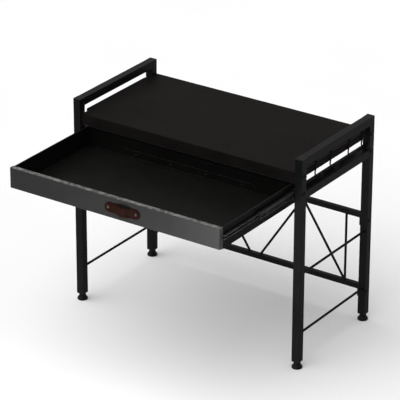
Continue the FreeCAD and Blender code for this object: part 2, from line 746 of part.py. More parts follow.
def strap_line(offset):
    """Edges of one face of the strap in plan, flat at both ends and bowed between.

    offset is the distance of that face from the strap's inner face.
    """
    first, last = stud_rows()
    y_flat = FRONT_FACE - offset
    y_crown = y_flat - STRAP_BOW
    left = Vector(first - STRAP_END, y_flat, 0)
    right = Vector(last + STRAP_END, y_flat, 0)
    left_flat = Vector(first + STRAP_LEFT_FLAT, y_flat, 0)
    right_flat = Vector(last - STRAP_RIGHT_FLAT, y_flat, 0)
    crown = Vector((left_flat.x + right_flat.x) / 2, y_crown, 0)
    quarter = (right_flat.x - left_flat.x) / 4
    points = [left_flat]
    for k in range(1, 8):
        x = left_flat.x + k * quarter / 2
        swell = (1 - math.cos(math.pi * k / 4)) / 2
        points.append(Vector(x, y_flat + (crown.y - y_flat) * swell, 0))
    points.append(right_flat)
    curve = Part.BSplineCurve()
    curve.interpolate(points, InitialTangent=Vector(1, 0, 0), FinalTangent=Vector(1, 0, 0))
    return [Part.makeLine(left, left_flat), curve.toShape(), Part.makeLine(right_flat, right)]


def leather_strap():
    """Strap of constant thickness with round ends, pierced for the two studs."""
    inner = strap_line(0)
    outer = strap_line(STRAP_THICKNESS)
    start = Part.makeLine(outer[0].Vertexes[0].Point, inner[0].Vertexes[0].Point)
    end = Part.makeLine(inner[-1].Vertexes[-1].Point, outer[-1].Vertexes[-1].Point)
    ring = Part.Wire(inner + [end] + list(reversed(outer)) + [start])
    band = Part.Face(ring).extrude(Vector(0, 0, STRAP_WIDTH))
    band.translate(Vector(0, 0, SLIDE_Z - STRAP_WIDTH / 2))
    low_x = stud_rows()[0] - STRAP_END
    high_x = stud_rows()[1] + STRAP_END
    half = STRAP_WIDTH / 2
    reach = (FRONT_FACE - STRAP_BOW - 2 * STRAP_THICKNESS, FRONT_FACE + 1)
    outline = box((low_x + half, high_x - half), reach, (SLIDE_Z - half, SLIDE_Z + half))
    for x in (low_x + half, high_x - half):
        start_point = Vector(x, reach[0], SLIDE_Z)
        outline = outline.fuse(rod_between(start_point, Vector(x, reach[1], SLIDE_Z), half))
    strap = band.common(outline)
    for x in stud_rows():
        start_point = Vector(x, reach[0], SLIDE_Z)
        strap = strap.cut(rod_between(start_point, Vector(x, reach[1], SLIDE_Z), STUD_RADIUS))
    return strap


def strap_studs():
    """Domed studs that clamp the strap, threaded through the front's face."""
    studs = []
    for x in stud_rows():
        length = STRAP_THICKNESS + SHEET + STUD_TAIL
        shank = Part.makeCylinder(STUD_RADIUS, length, Vector(0, 0, -length))
        stud = domed_head(STUD_HEAD_RADIUS, STUD_HEAD_HEIGHT).fuse(shank).removeSplitter()
        face = Vector(x, FRONT_FACE - STRAP_THICKNESS, SLIDE_Z)
        stud.Placement = FreeCAD.Placement(face, FreeCAD.Rotation(Vector(0, 0, 1), Vector(0, -1, 0)))
        studs.append(stud)
    return studs


def strap_nuts():
    """Hexagon nuts on the studs, inside the hollow front."""
    nuts = []
    run = Vector(0, NUT_HEIGHT, 0)
    for x in stud_rows():
        seat = Vector(x, FRONT_FACE + SHEET, SLIDE_Z)
        nuts.append(hexagon(seat, run, NUT_ACROSS).cut(rod_between(seat, seat + run, STUD_RADIUS)))
    return nuts


# ---- S-hooks -------------------------------------------------------------------------
def s_hook(y):
    """Wire hook hung over the hook rod, bowl outwards, leaning in against the shelf."""
    eye = Vector(POST_X, y, HOOK_ROD_Z)
    stem_x = eye.x + HOOK_EYE_RADIUS
    stem_top = Vector(stem_x, y, eye.z)
    stem_foot = Vector(stem_x, y, eye.z - HOOK_DROP)
    bowl = stem_foot + Vector(HOOK_BOWL_RADIUS, 0, 0)
    tip_foot = bowl + Vector(HOOK_BOWL_RADIUS, 0, 0)
    tail_top = eye - Vector(HOOK_EYE_RADIUS, 0, 0)
    edges = [
        Part.makeLine(tail_top - Vector(0, 0, HOOK_EYE_TAIL), tail_top),
        Part.Arc(tail_top, eye + Vector(0, 0, HOOK_EYE_RADIUS), stem_top).toShape(),
        Part.makeLine(stem_top, stem_foot),
        Part.Arc(stem_foot, bowl - Vector(0, 0, HOOK_BOWL_RADIUS), tip_foot).toShape(),
        Part.makeLine(tip_foot, tip_foot + Vector(0, 0, HOOK_TIP_RISE)),
    ]
    path = Part.Wire(edges)
    start = edges[0].Vertexes[0].Point
    section = Part.Wire(Part.makeCircle(HOOK_WIRE_RADIUS, start, Vector(0, 0, 1)))
    wire = path.makePipeShell([section], True, False)
    tip = tip_foot + Vector(0, 0, HOOK_TIP_RISE)
    ball = Part.makeSphere(HOOK_WIRE_RADIUS, tip)
    hook = wire.fuse(ball).removeSplitter()
    hook.rotate(eye, Vector(0, 1, 0), HOOK_LEAN)
    return hook


# ---- levelling feet ------------------------------------------------------------------
def foot_pad(side, end):
    """Round glide that flares out from its neck, hollow for the head of its stud."""
    base = Vector(side * POST_X, end * POST_Y, 0)
    flare_foot = base + Vector(0, 0, PAD_RIM_TOP)
    flare = Part.makeCone(PAD_RADIUS, NECK_RADIUS, PAD_FLARE_TOP - PAD_RIM_TOP, flare_foot)
    disc = Part.makeCylinder(PAD_RADIUS, PAD_RIM_TOP, base).fuse(flare).removeSplitter()
    rims = [
        edge
        for edge in disc.Edges
        if len(edge.Vertexes) == 1 and abs(edge.Curve.Radius - PAD_RADIUS) < 0.01
    ]
    disc = disc.makeFillet(PAD_EDGE, rims)
    neck = Part.makeCylinder(NECK_RADIUS, NECK_TOP - 1, base + Vector(0, 0, 1))
    pad = disc.fuse(neck).removeSplitter()
    socket = Part.makeCylinder(STUD_THREAD_RADIUS, NECK_TOP, base + Vector(0, 0, STUD_BASE))
    return pad.cut(socket)


def foot_stud(side, end):
    """Threaded stud of a levelling foot, turning in the insert of its post."""
    base = Vector(side * POST_X, end * POST_Y, STUD_BASE)
    return Part.makeCylinder(STUD_THREAD_RADIUS, STUD_TOP - STUD_BASE, base)


def build_nodes():
    """Every sub-part of the stand, by node name, as a list of separate solids."""
    nodes = {
        "rear_crossbar_upper": [rear_bar(UPPER_BAR_Z)],
        "rear_crossbar_lower": [rear_bar(LOWER_BAR_Z)],
        "crossbar_end_plates": end_plates(),
        "hook_rod": [side_rod(1, HOOK_ROD_Z, HOOK_ROD_RADIUS)],
        "post_inserts": threaded_inserts(),
        "frame_bolts": frame_bolts(),
        "shelf_panel": [shelf_panel()],
        "shelf_stiffeners": shelf_stiffeners(),
        "shelf_weld_nuts": weld_nuts(),
        "drawer_front": [drawer_front()],
        "drawer_front_liner": [drawer_front_liner()],
        "drawer_floor": [drawer_floor()],
        "drawer_back": [drawer_back()],
        "drawer_rivets": drawer_rivets(),
        "slide_screws": slide_screws(),
        "pull_strap": [leather_strap()],
        "pull_studs": strap_studs(),
        "pull_nuts": strap_nuts(),
    }
    for side_name, side in SIDES.items():
        nodes[f"top_rail_{side_name}"] = [side_tube(side, HEIGHT - TUBE / 2)]
        nodes[f"slide_rail_{side_name}"] = [side_tube(side, SLIDE_Z)]
        nodes[f"tie_rod_middle_{side_name}"] = [side_rod(side, MID_ROD_Z)]
        nodes[f"tie_rod_low_{side_name}"] = [side_rod(side, LOW_ROD_Z)]
        nodes[f"lattice_upright_{side_name}"] = [lattice_post(side)]
        outer_head_x = LATTICE_FOOT_X - LATTICE_PITCH
        inner_head_x = outer_head_x - LATTICE_HEAD_GAP
        outer_diagonal = lattice_diagonal(side * LATTICE_FOOT_X, side * outer_head_x)
        inner_foot_x = inner_head_x - LATTICE_PITCH
        inner_diagonal = lattice_diagonal(side * inner_foot_x, side * inner_head_x)
        nodes[f"lattice_diagonal_outer_{side_name}"] = [outer_diagonal]
        nodes[f"lattice_diagonal_inner_{side_name}"] = [inner_diagonal]
        nodes[f"slide_fixed_{side_name}"] = [slide_fixed(side)]
        nodes[f"slide_middle_{side_name}"] = [slide_middle(side)]
        nodes[f"slide_moving_{side_name}"] = [slide_moving(side)]
        nodes[f"ball_cage_outer_{side_name}"] = outer_cage(side)
        nodes[f"ball_cage_inner_{side_name}"] = inner_cage(side)
        nodes[f"drawer_side_{side_name}"] = [drawer_side(side)]
        for end_name, end in ENDS.items():
            corner = f"{end_name}_{side_name}"
            nodes[f"post_{corner}"] = [post(side, end)]
            nodes[f"foot_pad_{corner}"] = [foot_pad(side, end)]
            nodes[f"foot_stud_{corner}"] = [foot_stud(side, end)]
    for number, y in enumerate(HOOK_ROWS, start=1):
        nodes[f"s_hook_{number}"] = [s_hook(y)]
    return nodes


def footprint_middle():
    """Middle of the whole object's footprint, drawer drawn out, at floor level."""
    lean = math.radians(HOOK_LEAN)
    tip_out = (HOOK_EYE_RADIUS + 2 * HOOK_BOWL_RADIUS) * math.cos(lean)
    tip_in = (HOOK_DROP - HOOK_TIP_RISE) * math.sin(lean)
    x_low = -(POST_X + PAD_RADIUS)
    x_high = POST_X + tip_out - tip_in + HOOK_WIRE_RADIUS
    y_low = FRONT_FACE - STRAP_THICKNESS - STRAP_BOW
    y_high = POST_Y + PAD_RADIUS
    return Vector((x_low + x_high) / 2, (y_low + y_high) / 2, 0)


def write_nodes():
    """Write one STEP file per node, in the object's own frame."""
    os.makedirs("parts", exist_ok=True)
    origin = footprint_middle()
    for name, solids in build_nodes().items():
        shape = solids[0] if len(solids) == 1 else Part.makeCompound(solids)
        placed = shape.copy()
        placed.translate(-origin)
        placed.exportStep(f"parts/{name}.step")


write_nodes()
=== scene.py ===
"""Looks of a microwave stand with a drawer: finishes, leather pull, welds, light and camera."""

import logging
import math
from dataclasses import dataclass, field
from enum import Enum
from typing import Callable, Union

import bpy
from mathutils import Euler, Matrix, Vector

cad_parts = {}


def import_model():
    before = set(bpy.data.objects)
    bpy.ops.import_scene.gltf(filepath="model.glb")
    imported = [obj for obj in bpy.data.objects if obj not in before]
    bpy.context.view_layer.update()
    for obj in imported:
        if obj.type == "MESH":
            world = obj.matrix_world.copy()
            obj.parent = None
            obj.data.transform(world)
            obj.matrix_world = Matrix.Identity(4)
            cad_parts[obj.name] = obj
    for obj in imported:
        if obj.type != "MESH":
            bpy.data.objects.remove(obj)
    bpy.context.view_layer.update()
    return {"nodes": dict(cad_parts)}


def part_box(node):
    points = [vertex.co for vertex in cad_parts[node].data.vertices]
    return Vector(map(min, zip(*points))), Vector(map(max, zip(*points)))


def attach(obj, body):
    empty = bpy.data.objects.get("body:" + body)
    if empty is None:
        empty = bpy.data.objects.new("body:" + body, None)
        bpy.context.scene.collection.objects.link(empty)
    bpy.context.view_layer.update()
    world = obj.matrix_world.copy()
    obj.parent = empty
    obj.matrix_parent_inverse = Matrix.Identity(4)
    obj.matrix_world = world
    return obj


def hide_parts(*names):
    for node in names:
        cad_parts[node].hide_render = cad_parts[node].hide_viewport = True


LOG = logging.getLogger("stand")
# Metres within which points count as level, and past which one is clear of a plane.
LEVEL = 0.00001
CLEAR = 0.0001
Colour = tuple[float, float, float]
Place = tuple[float, float, float]
Piece = bpy.types.Object
Socket = bpy.types.NodeSocket
Value = Union[float, int, tuple, Vector, Socket]


# ---- node trees ----------------------------------------------------------------------
class Board:
    """A node tree with short calls to place nodes and join their sockets."""

    def __init__(self, tree: bpy.types.NodeTree) -> None:
        """Empties the tree and keeps it.

        Args:
            tree: the node tree of a material, a world or a group.
        """
        self.tree = tree
        tree.nodes.clear()

    def add(self, kind: str, feeds: dict[Union[str, int], Value], **settings: object) -> bpy.types.Node:
        """Places one node.

        Args:
            kind: the node's type, without the words that all shader nodes start with.
            feeds: for each input, a value or the output socket that feeds it.
            settings: the node's own properties.

        Returns:
            The new node.
        """
        node = self.tree.nodes.new(kind if kind.startswith("NodeGroup") else "ShaderNode" + kind)
        for name, value in settings.items():
            setattr(node, name, value)
        for socket, value in feeds.items():
            if isinstance(value, Socket):
                self.tree.links.new(value, node.inputs[socket])
            else:
                node.inputs[socket].default_value = value
        return node

    def maths(self, operation: str, a: Value, b: Value, clamp: bool = False) -> Socket:
        """Joins two numbers with one Math node.

        Args:
            operation: the Math node's operation.
            a: first number or socket.
            b: second number or socket.
            clamp: whether the result stays from 0 to 1.

        Returns:
            The result's socket.
        """
        return self.add("Math", {0: a, 1: b}, operation=operation, use_clamp=clamp).outputs[0]

    def span(self, value: Value, low: float, high: float, to_low: float, to_high: float) -> Socket:
        """Maps a number from one span to another, and holds it there.

        Args:
            value: the number's socket.
            low: start of the first span.
            high: end of the first span.
            to_low: what low becomes.
            to_high: what high becomes.

        Returns:
            The result's socket.
        """
        feeds = {"Value": value, "From Min": low, "From Max": high, "To Min": to_low, "To Max": to_high}
        return self.add("MapRange", feeds, clamp=True).outputs["Result"]

    def spread(self, pattern: Socket, to_low: float, to_high: float) -> Socket:
        """Stretches the middle tones of a noise pattern over a span.

        Args:
            pattern: the pattern's socket.
            to_low: what its darker tones become.
            to_high: what its lighter tones become.

        Returns:
            The result's socket.
        """
        return self.span(pattern, 0.3, 0.7, to_low, to_high)

    def blend(self, factor: Value, a: Value, b: Value) -> Socket:
        """Mixes two colours.

        Args:
            factor: share of the second colour.
            a: first colour.
            b: second colour.

        Returns:
            The mixed colour's socket.
        """
        colours = [c if isinstance(c, Socket) else (*c, 1.0) for c in (a, b)]
        feeds = {0: factor, 6: colours[0], 7: colours[1]}
        return self.add("Mix", feeds, data_type="RGBA").outputs[2]

    def bump(self, height: Socket, distance: float, strength: float) -> Socket:
        """Turns a pattern into small relief.

        Args:
            height: the pattern's socket.
            distance: the relief's depth in metres.
            strength: how much of it shows.

        Returns:
            The changed normal's socket.
        """
        feeds = {"Height": height, "Distance": distance, "Strength": strength}
        return self.add("Bump", feeds).outputs["Normal"]

    def noise(self, place: Socket, scale: Value, detail: float = 2.0, rough: float = 0.5) -> Socket:
        """Adds a noise pattern.

        Args:
            place: the coordinates' socket.
            scale: lumps to the metre.
            detail: octaves.
            rough: strength of the finer octaves.

        Returns:
            The pattern's socket, from 0 to 1.
        """
        feeds = {"Vector": place, "Scale": scale, "Detail": detail, "Roughness": rough}
        return self.add("TexNoise", feeds).outputs["Fac"]

    def object_place(self) -> Socket:
        """Returns the coordinates fixed to the piece."""
        return self.add("TexCoord", {}).outputs["Object"]


# ---- effects that finishes share -----------------------------------------------------
class Effect:
    """A shader node group, built once and placed in each material with its own values."""

    name: str = ""
    takes: tuple[tuple[str, str, Value], ...] = ()
    gives: tuple[tuple[str, str], ...] = ()

    def __init__(self) -> None:
        """Makes the group's sockets and wires its inside."""
        self.tree = bpy.data.node_groups.new(self.name, "ShaderNodeTree")
        board = Board(self.tree)
        new_socket = self.tree.interface.new_socket
        for label, kind, value in self.takes:
            socket = new_socket(label, in_out="INPUT", socket_type="NodeSocket" + kind)
            socket.default_value = value
        for label, kind in self.gives:
            new_socket(label, in_out="OUTPUT", socket_type="NodeSocket" + kind)
        inside = board.add("NodeGroupInput", {})
        results = self.wire(board, inside.outputs)
        board.add("NodeGroupOutput", results)

    def wire(self, board: Board, takes: bpy.types.NodeOutputs) -> dict[str, Value]:
        """Wires the group.

        Args:
            board: the group's tree.
            takes: the group's inputs.

        Returns:
            For each output's name, the socket that feeds it.
        """
        raise NotImplementedError

    def place(self, board: Board, **values: Value) -> bpy.types.NodeOutputs:
        """Places the group in a material.

        Args:
            board: the material's tree.
            values: value or socket of each input, by its name.

        Returns:
            The group's outputs.
        """
        return board.add("Group", values, node_tree=self.tree).outputs


class EdgeWearAndHighlight(Effect):
    """Finds sharp edges and breaks them up, for coats that are thin or rubbed there, and for highlights
    painted along edges.
    """

    name = "edge_wear_and_highlight"
    takes = (("Radius", "Float", 0.0008), ("Breakup", "Float", 120.0), ("Amount", "Float", 1.0))
    gives = (("Mask", "Float"), ("Edge", "Float"))
    samples = 6
    face_cosine, edge_cosine = 0.995, 0.82
    least = 0.25

    def wire(self, board: Board, takes: bpy.types.NodeOutputs) -> dict[str, Value]:
        """Wires the group. See Effect.wire for Args and Returns."""
        rounded = board.add("Bevel", {"Radius": takes["Radius"]}, samples=self.samples)
        flat = board.add("NewGeometry", {})
        feeds = {0: rounded.outputs["Normal"], 1: flat.outputs["Normal"]}
        facing = board.add("VectorMath", feeds, operation="DOT_PRODUCT").outputs["Value"]
        edge = board.span(facing, self.face_cosine, self.edge_cosine, 0.0, 1.0)
        patches = board.noise(board.object_place(), takes["Breakup"], 3.0, 0.6)
        broken = board.maths("MULTIPLY", edge, board.span(patches, 0.35, 0.62, self.least, 1.0))
        return {"Mask": board.maths("MULTIPLY", broken, takes["Amount"], True), "Edge": edge}


class PowderGrain(Effect):
    """Fine orange peel of a sprayed and baked powder coat, with slow changes of tone."""

    name = "powder_grain"
    takes = (("Grain", "Float", 950.0), ("Patch", "Float", 9.0))
    gives = (("Height", "Float"), ("Tone", "Float"), ("Speck", "Float"))
    coarse_scale, speck_scale = 0.28, 0.8
    fine_weight = 0.65

    def wire(self, board: Board, takes: bpy.types.NodeOutputs) -> dict[str, Value]:
        """Wires the group. See Effect.wire for Args and Returns."""
        place = board.object_place()
        fine = board.noise(place, takes["Grain"], 2.0, 0.55)
        wide = board.maths("MULTIPLY", takes["Grain"], self.coarse_scale)
        coarse = board.noise(place, wide, 2.0, 0.5)
        fine_part = board.maths("MULTIPLY", fine, self.fine_weight)
        height = board.maths("ADD", fine_part, board.maths("MULTIPLY", coarse, 1 - self.fine_weight))
        tone = board.noise(place, takes["Patch"], 4.0, 0.6)
        dots = board.noise(place, board.maths("MULTIPLY", takes["Grain"], self.speck_scale), 0.0)
        return {"Height": height, "Tone": tone, "Speck": board.span(dots, 0.66, 0.74, 0.0, 1.0)}


class SettledDustAndTopLight(Effect):
    """Thin dust that lies where a face looks up; at a high amount it is painted light on top faces."""

    name = "settled_dust_and_top_light"
    takes = (("Amount", "Float", 0.3), ("Scale", "Float", 60.0))
    gives = (("Mask", "Float"),)
    steepest = 0.55

    def wire(self, board: Board, takes: bpy.types.NodeOutputs) -> dict[str, Value]:
        """Wires the group. See Effect.wire for Args and Returns."""
        normal = board.add("NewGeometry", {}).outputs["Normal"]
        rise = board.add("SeparateXYZ", {0: normal}).outputs["Z"]
        up = board.span(rise, self.steepest, 1.0, 0.0, 1.0)
        lumps = board.noise(board.object_place(), takes["Scale"], 5.0, 0.7)
        drift = board.span(lumps, 0.4, 0.75, 0.0, 1.0)
        lying = board.maths("MULTIPLY", up, drift)
        return {"Mask": board.maths("MULTIPLY", lying, takes["Amount"], True)}


class RolledLines(Effect):
    """Fine lines that rolling or drawing leaves along a steel member."""

    name = "rolled_lines"
    takes = (("Stretch", "Vector", (900.0, 9.0, 900.0)),)
    gives = (("Height", "Float"), ("Tone", "Float"))
    tone_scale = 18.0

    def wire(self, board: Board, takes: bpy.types.NodeOutputs) -> dict[str, Value]:
        """Wires the group. See Effect.wire for Args and Returns."""
        place = board.object_place()
        feeds = {0: place, 1: takes["Stretch"]}
        lines = board.add("VectorMath", feeds, operation="MULTIPLY").outputs["Vector"]
        height = board.noise(lines, 1.0, 3.0, 0.6)
        return {"Height": height, "Tone": board.noise(place, self.tone_scale, 3.0, 0.6)}


class HideGrain(Effect):
    """Pores and creases of a waxed hide, with darker and lighter areas."""

    name = "hide_grain"
    takes = (("Pores", "Float", 620.0), ("Patch", "Float", 55.0))
    gives = (("Height", "Float"), ("Crease", "Float"), ("Tone", "Float"))
    wander_scale, wander_reach = 180.0, 0.0016
    crease_width = 0.16
    fibre_scale, fibre_weight = 2.3, 0.3

    def wire(self, board: Board, takes: bpy.types.NodeOutputs) -> dict[str, Value]:
        """Wires the group. See Effect.wire for Args and Returns."""
        place = board.object_place()
        feeds = {"Vector": place, "Scale": self.wander_scale, "Detail": 2.0}
        wander = board.add("TexNoise", feeds).outputs["Color"]
        feeds = {0: wander, 3: self.wander_reach}
        shift = board.add("VectorMath", feeds, operation="SCALE").outputs["Vector"]
        moved = board.add("VectorMath", {0: place, 1: shift}, operation="ADD").outputs["Vector"]
        feeds = {"Vector": moved, "Scale": takes["Pores"]}
        cells = board.add("TexVoronoi", feeds, feature="DISTANCE_TO_EDGE").outputs["Distance"]
        crease = board.span(cells, 0.0, self.crease_width, 1.0, 0.0)
        fibre = board.noise(place, board.maths("MULTIPLY", takes["Pores"], self.fibre_scale), 3.0, 0.6)
        height = board.maths("SUBTRACT", board.maths("MULTIPLY", fibre, self.fibre_weight), crease)
        tone = board.noise(place, takes["Patch"], 5.0, 0.65)
        return {"Height": height, "Crease": crease, "Tone": tone}


class Effects:
    """Every shared effect, each built once."""

    def __init__(self) -> None:
        """Builds the groups."""
        self.wear_and_highlight = EdgeWearAndHighlight()
        self.powder = PowderGrain()
        self.dust_and_top_light = SettledDustAndTopLight()
        self.lines = RolledLines()
        self.hide = HideGrain()


# ---- finishes ------------------------------------------------------------------------
@dataclass(frozen=True)
class Finish:
    """What every finish has: a name, a colour and how the light leaves it."""

    name: str
    colour: Colour
    roughness: float
    specular: float = 0.5

    def material(self, effects: Effects) -> bpy.types.Material:
        """Builds the material.

        Args:
            effects: the shared node groups.

        Returns:
            The new material.
        """
        material = bpy.data.materials.new(self.name)
        material.use_nodes = True
        board = Board(material.node_tree)
        feeds = {"Specular IOR Level": self.specular, **self.feeds(board, effects)}
        shader = board.add("BsdfPrincipled", feeds)
        board.add("OutputMaterial", {"Surface": shader.outputs["BSDF"]})
        return material

    def feeds(self, board: Board, effects: Effects) -> dict[str, Value]:
        """Wires what feeds the shader.

        Args:
            board: the material's tree.
            effects: the shared node groups.

        Returns:
            For each of the shader's inputs, a value or the socket that feeds it.
        """
        raise NotImplementedError

    def shade(self, factor: float) -> Colour:
        """Returns the finish's colour, made lighter or darker by a factor."""
        return tuple(c * factor for c in self.colour)


@dataclass(frozen=True)
class PowderCoat(Finish):
    """Baked powder on steel: orange peel, edges lightened as a painted highlight, dust on top that on
    the drawer's front is painted top light.
    """

    grain: float = 950.0
    peel: float = 0.00005
    contrast: float = 0.22
    # Light grey laid on sharp edges: partly a thinner coat, partly a painted highlight.
    edge_colour: Colour = (0.16, 0.16, 0.16)
    edge_amount: float = 0.35
    edge_radius: float = 0.0009
    dust_and_top_light: float = 0.012
    dust_and_top_light_colour: Colour = (0.30, 0.29, 0.27)
    speck_share: float = 0.03
    sheen: float = 0.0

    def feeds(self, board: Board, effects: Effects) -> dict[str, Value]:
        """Wires what feeds the shader. See Finish.feeds for Args and Returns."""
        grain = effects.powder.place(board, Grain=self.grain, Patch=9.0)
        wear_and_highlight = effects.wear_and_highlight.place(
            board, Radius=self.edge_radius, Breakup=140.0, Amount=self.edge_amount
        )
        dust_and_top_light = effects.dust_and_top_light.place(board, Amount=self.dust_and_top_light, Scale=70.0)
        tone = board.spread(grain["Tone"], 0.0, 1.0)
        colour = board.blend(tone, self.shade(1 - self.contrast), self.shade(1 + self.contrast))
        specks = board.maths("MULTIPLY", grain["Speck"], self.speck_share)
        colour = board.blend(specks, colour, self.edge_colour)
        # Lightens sharp edges and folds: painted highlight, partly thin coat.
        colour = board.blend(wear_and_highlight["Mask"], colour, self.edge_colour)
        # Up faces lighter: thin dust, and on the drawer's front painted top light.
        colour = board.blend(dust_and_top_light["Mask"], colour, self.dust_and_top_light_colour)
        rough = board.spread(grain["Tone"], self.roughness - 0.04, self.roughness + 0.05)
        rough = board.maths("SUBTRACT", rough, board.maths("MULTIPLY", wear_and_highlight["Edge"], 0.08))
        return {
            "Base Color": colour,
            "Roughness": rough,
            "Sheen Weight": self.sheen,
            "Sheen Roughness": 0.35,
            "Normal": board.bump(grain["Height"], self.peel, 0.7),
        }


@dataclass(frozen=True)
class CoatedStrip(Finish):
    """Electro-coated rolled steel: lines along the member, lips lightened as rubbed steel and a painted
    highlight.
    """

    lines: float = 0.00002
    edge_colour: Colour = (0.36, 0.36, 0.37)
    edge_amount: float = 0.9
    edge_shine: float = 0.6

    def feeds(self, board: Board, effects: Effects) -> dict[str, Value]:
        """Wires what feeds the shader. See Finish.feeds for Args and Returns."""
        rolled = effects.lines.place(board, Stretch=(1100.0, 7.0, 1100.0))
        wear_and_highlight = effects.wear_and_highlight.place(board, Radius=0.0010, Breakup=90.0, Amount=self.edge_amount)
        tone = board.spread(rolled["Tone"], 0.0, 1.0)
        colour = board.blend(tone, self.shade(0.8), self.shade(1.25))
        streak = board.span(rolled["Height"], 0.55, 0.8, 0.0, 0.25)
        colour = board.blend(streak, colour, self.edge_colour)
        # Light grey at the lips: rubbed steel and a painted highlight.
        colour = board.blend(wear_and_highlight["Mask"], colour, self.edge_colour)
        rough = board.span(rolled["Height"], 0.25, 0.75, self.roughness - 0.07, self.roughness + 0.07)
        metal = board.maths("MULTIPLY", wear_and_highlight["Mask"], self.edge_shine)
        normal = board.bump(rolled["Height"], self.lines, 0.5)
        return {"Base Color": colour, "Roughness": rough, "Metallic": metal, "Normal": normal}


@dataclass(frozen=True)
class BareMetal(Finish):
    """Plated or oxidised small parts: metal with stains, fine scratches and bright edges."""

    metallic: float = 1.0
    edge_colour: Colour = (0.75, 0.75, 0.76)
    edge_amount: float = 0.6
    scratches: Place = (900.0, 900.0, 900.0)
    scratch_depth: float = 0.00002

    def feeds(self, board: Board, effects: Effects) -> dict[str, Value]:
        """Wires what feeds the shader. See Finish.feeds for Args and Returns."""
        rolled = effects.lines.place(board, Stretch=self.scratches)
        wear_and_highlight = effects.wear_and_highlight.place(board, Radius=0.0004, Breakup=300.0, Amount=self.edge_amount)
        stain = board.noise(board.object_place(), 160.0, 4.0, 0.65)
        colour = board.blend(board.spread(stain, 0.0, 1.0), self.shade(0.72), self.shade(1.2))
        colour = board.blend(wear_and_highlight["Mask"], colour, self.edge_colour)
        return {
            "Base Color": colour,
            "Roughness": board.spread(stain, self.roughness - 0.08, self.roughness + 0.1),
            "Metallic": self.metallic,
            "Normal": board.bump(rolled["Height"], self.scratch_depth, 0.5),
        }


@dataclass(frozen=True)
class MouldedPlastic(Finish):
    """Matt moulded plastic with a spark-eroded texture and scuffed edges."""

    texture: float = 0.00005
    scuff: float = 4.0

    def feeds(self, board: Board, effects: Effects) -> dict[str, Value]:
        """Wires what feeds the shader. See Finish.feeds for Args and Returns."""
        grain = effects.powder.place(board, Grain=2200.0, Patch=60.0)
        wear_and_highlight = effects.wear_and_highlight.place(board, Radius=0.0007, Breakup=260.0, Amount=0.35)
        colour = board.blend(board.spread(grain["Tone"], 0.0, 1.0), self.shade(0.8), self.shade(1.3))
        return {
            "Base Color": board.blend(wear_and_highlight["Mask"], colour, self.shade(self.scuff)),
            "Roughness": board.spread(grain["Tone"], self.roughness - 0.06, self.roughness + 0.06),
            "Normal": board.bump(grain["Height"], self.texture, 0.6),
        }


@dataclass(frozen=True)
class WaxedLeather(Finish):
    """Waxed hide: pores, pull-up patches and burnished dark edges."""

    edge_colour: Colour = (0.012, 0.006, 0.0045)
    pore_depth: float = 0.00018
    wax: float = 0.03
    wax_roughness: float = 0.45

    def feeds(self, board: Board, effects: Effects) -> dict[str, Value]:
        """Wires what feeds the shader. See Finish.feeds for Args and Returns."""
        hide = effects.hide.place(board, Pores=620.0, Patch=55.0)
        wear_and_highlight = effects.wear_and_highlight.place(board, Radius=0.0011, Breakup=200.0, Amount=0.8)
        tone = board.span(hide["Tone"], 0.32, 0.68, 0.0, 1.0)
        colour = board.blend(tone, self.shade(0.72), self.shade(1.35))
        colour = board.blend(board.maths("MULTIPLY", hide["Crease"], 0.5), colour, self.edge_colour)
        colour = board.blend(wear_and_highlight["Mask"], colour, self.edge_colour)
        return {
            "Base Color": colour,
            "Roughness": board.spread(hide["Tone"], self.roughness - 0.08, self.roughness + 0.08),
            "Coat Weight": board.spread(hide["Tone"], 0.0, self.wax),
            "Coat Roughness": self.wax_roughness,
            "Normal": board.bump(hide["Height"], self.pore_depth, 0.6),
        }


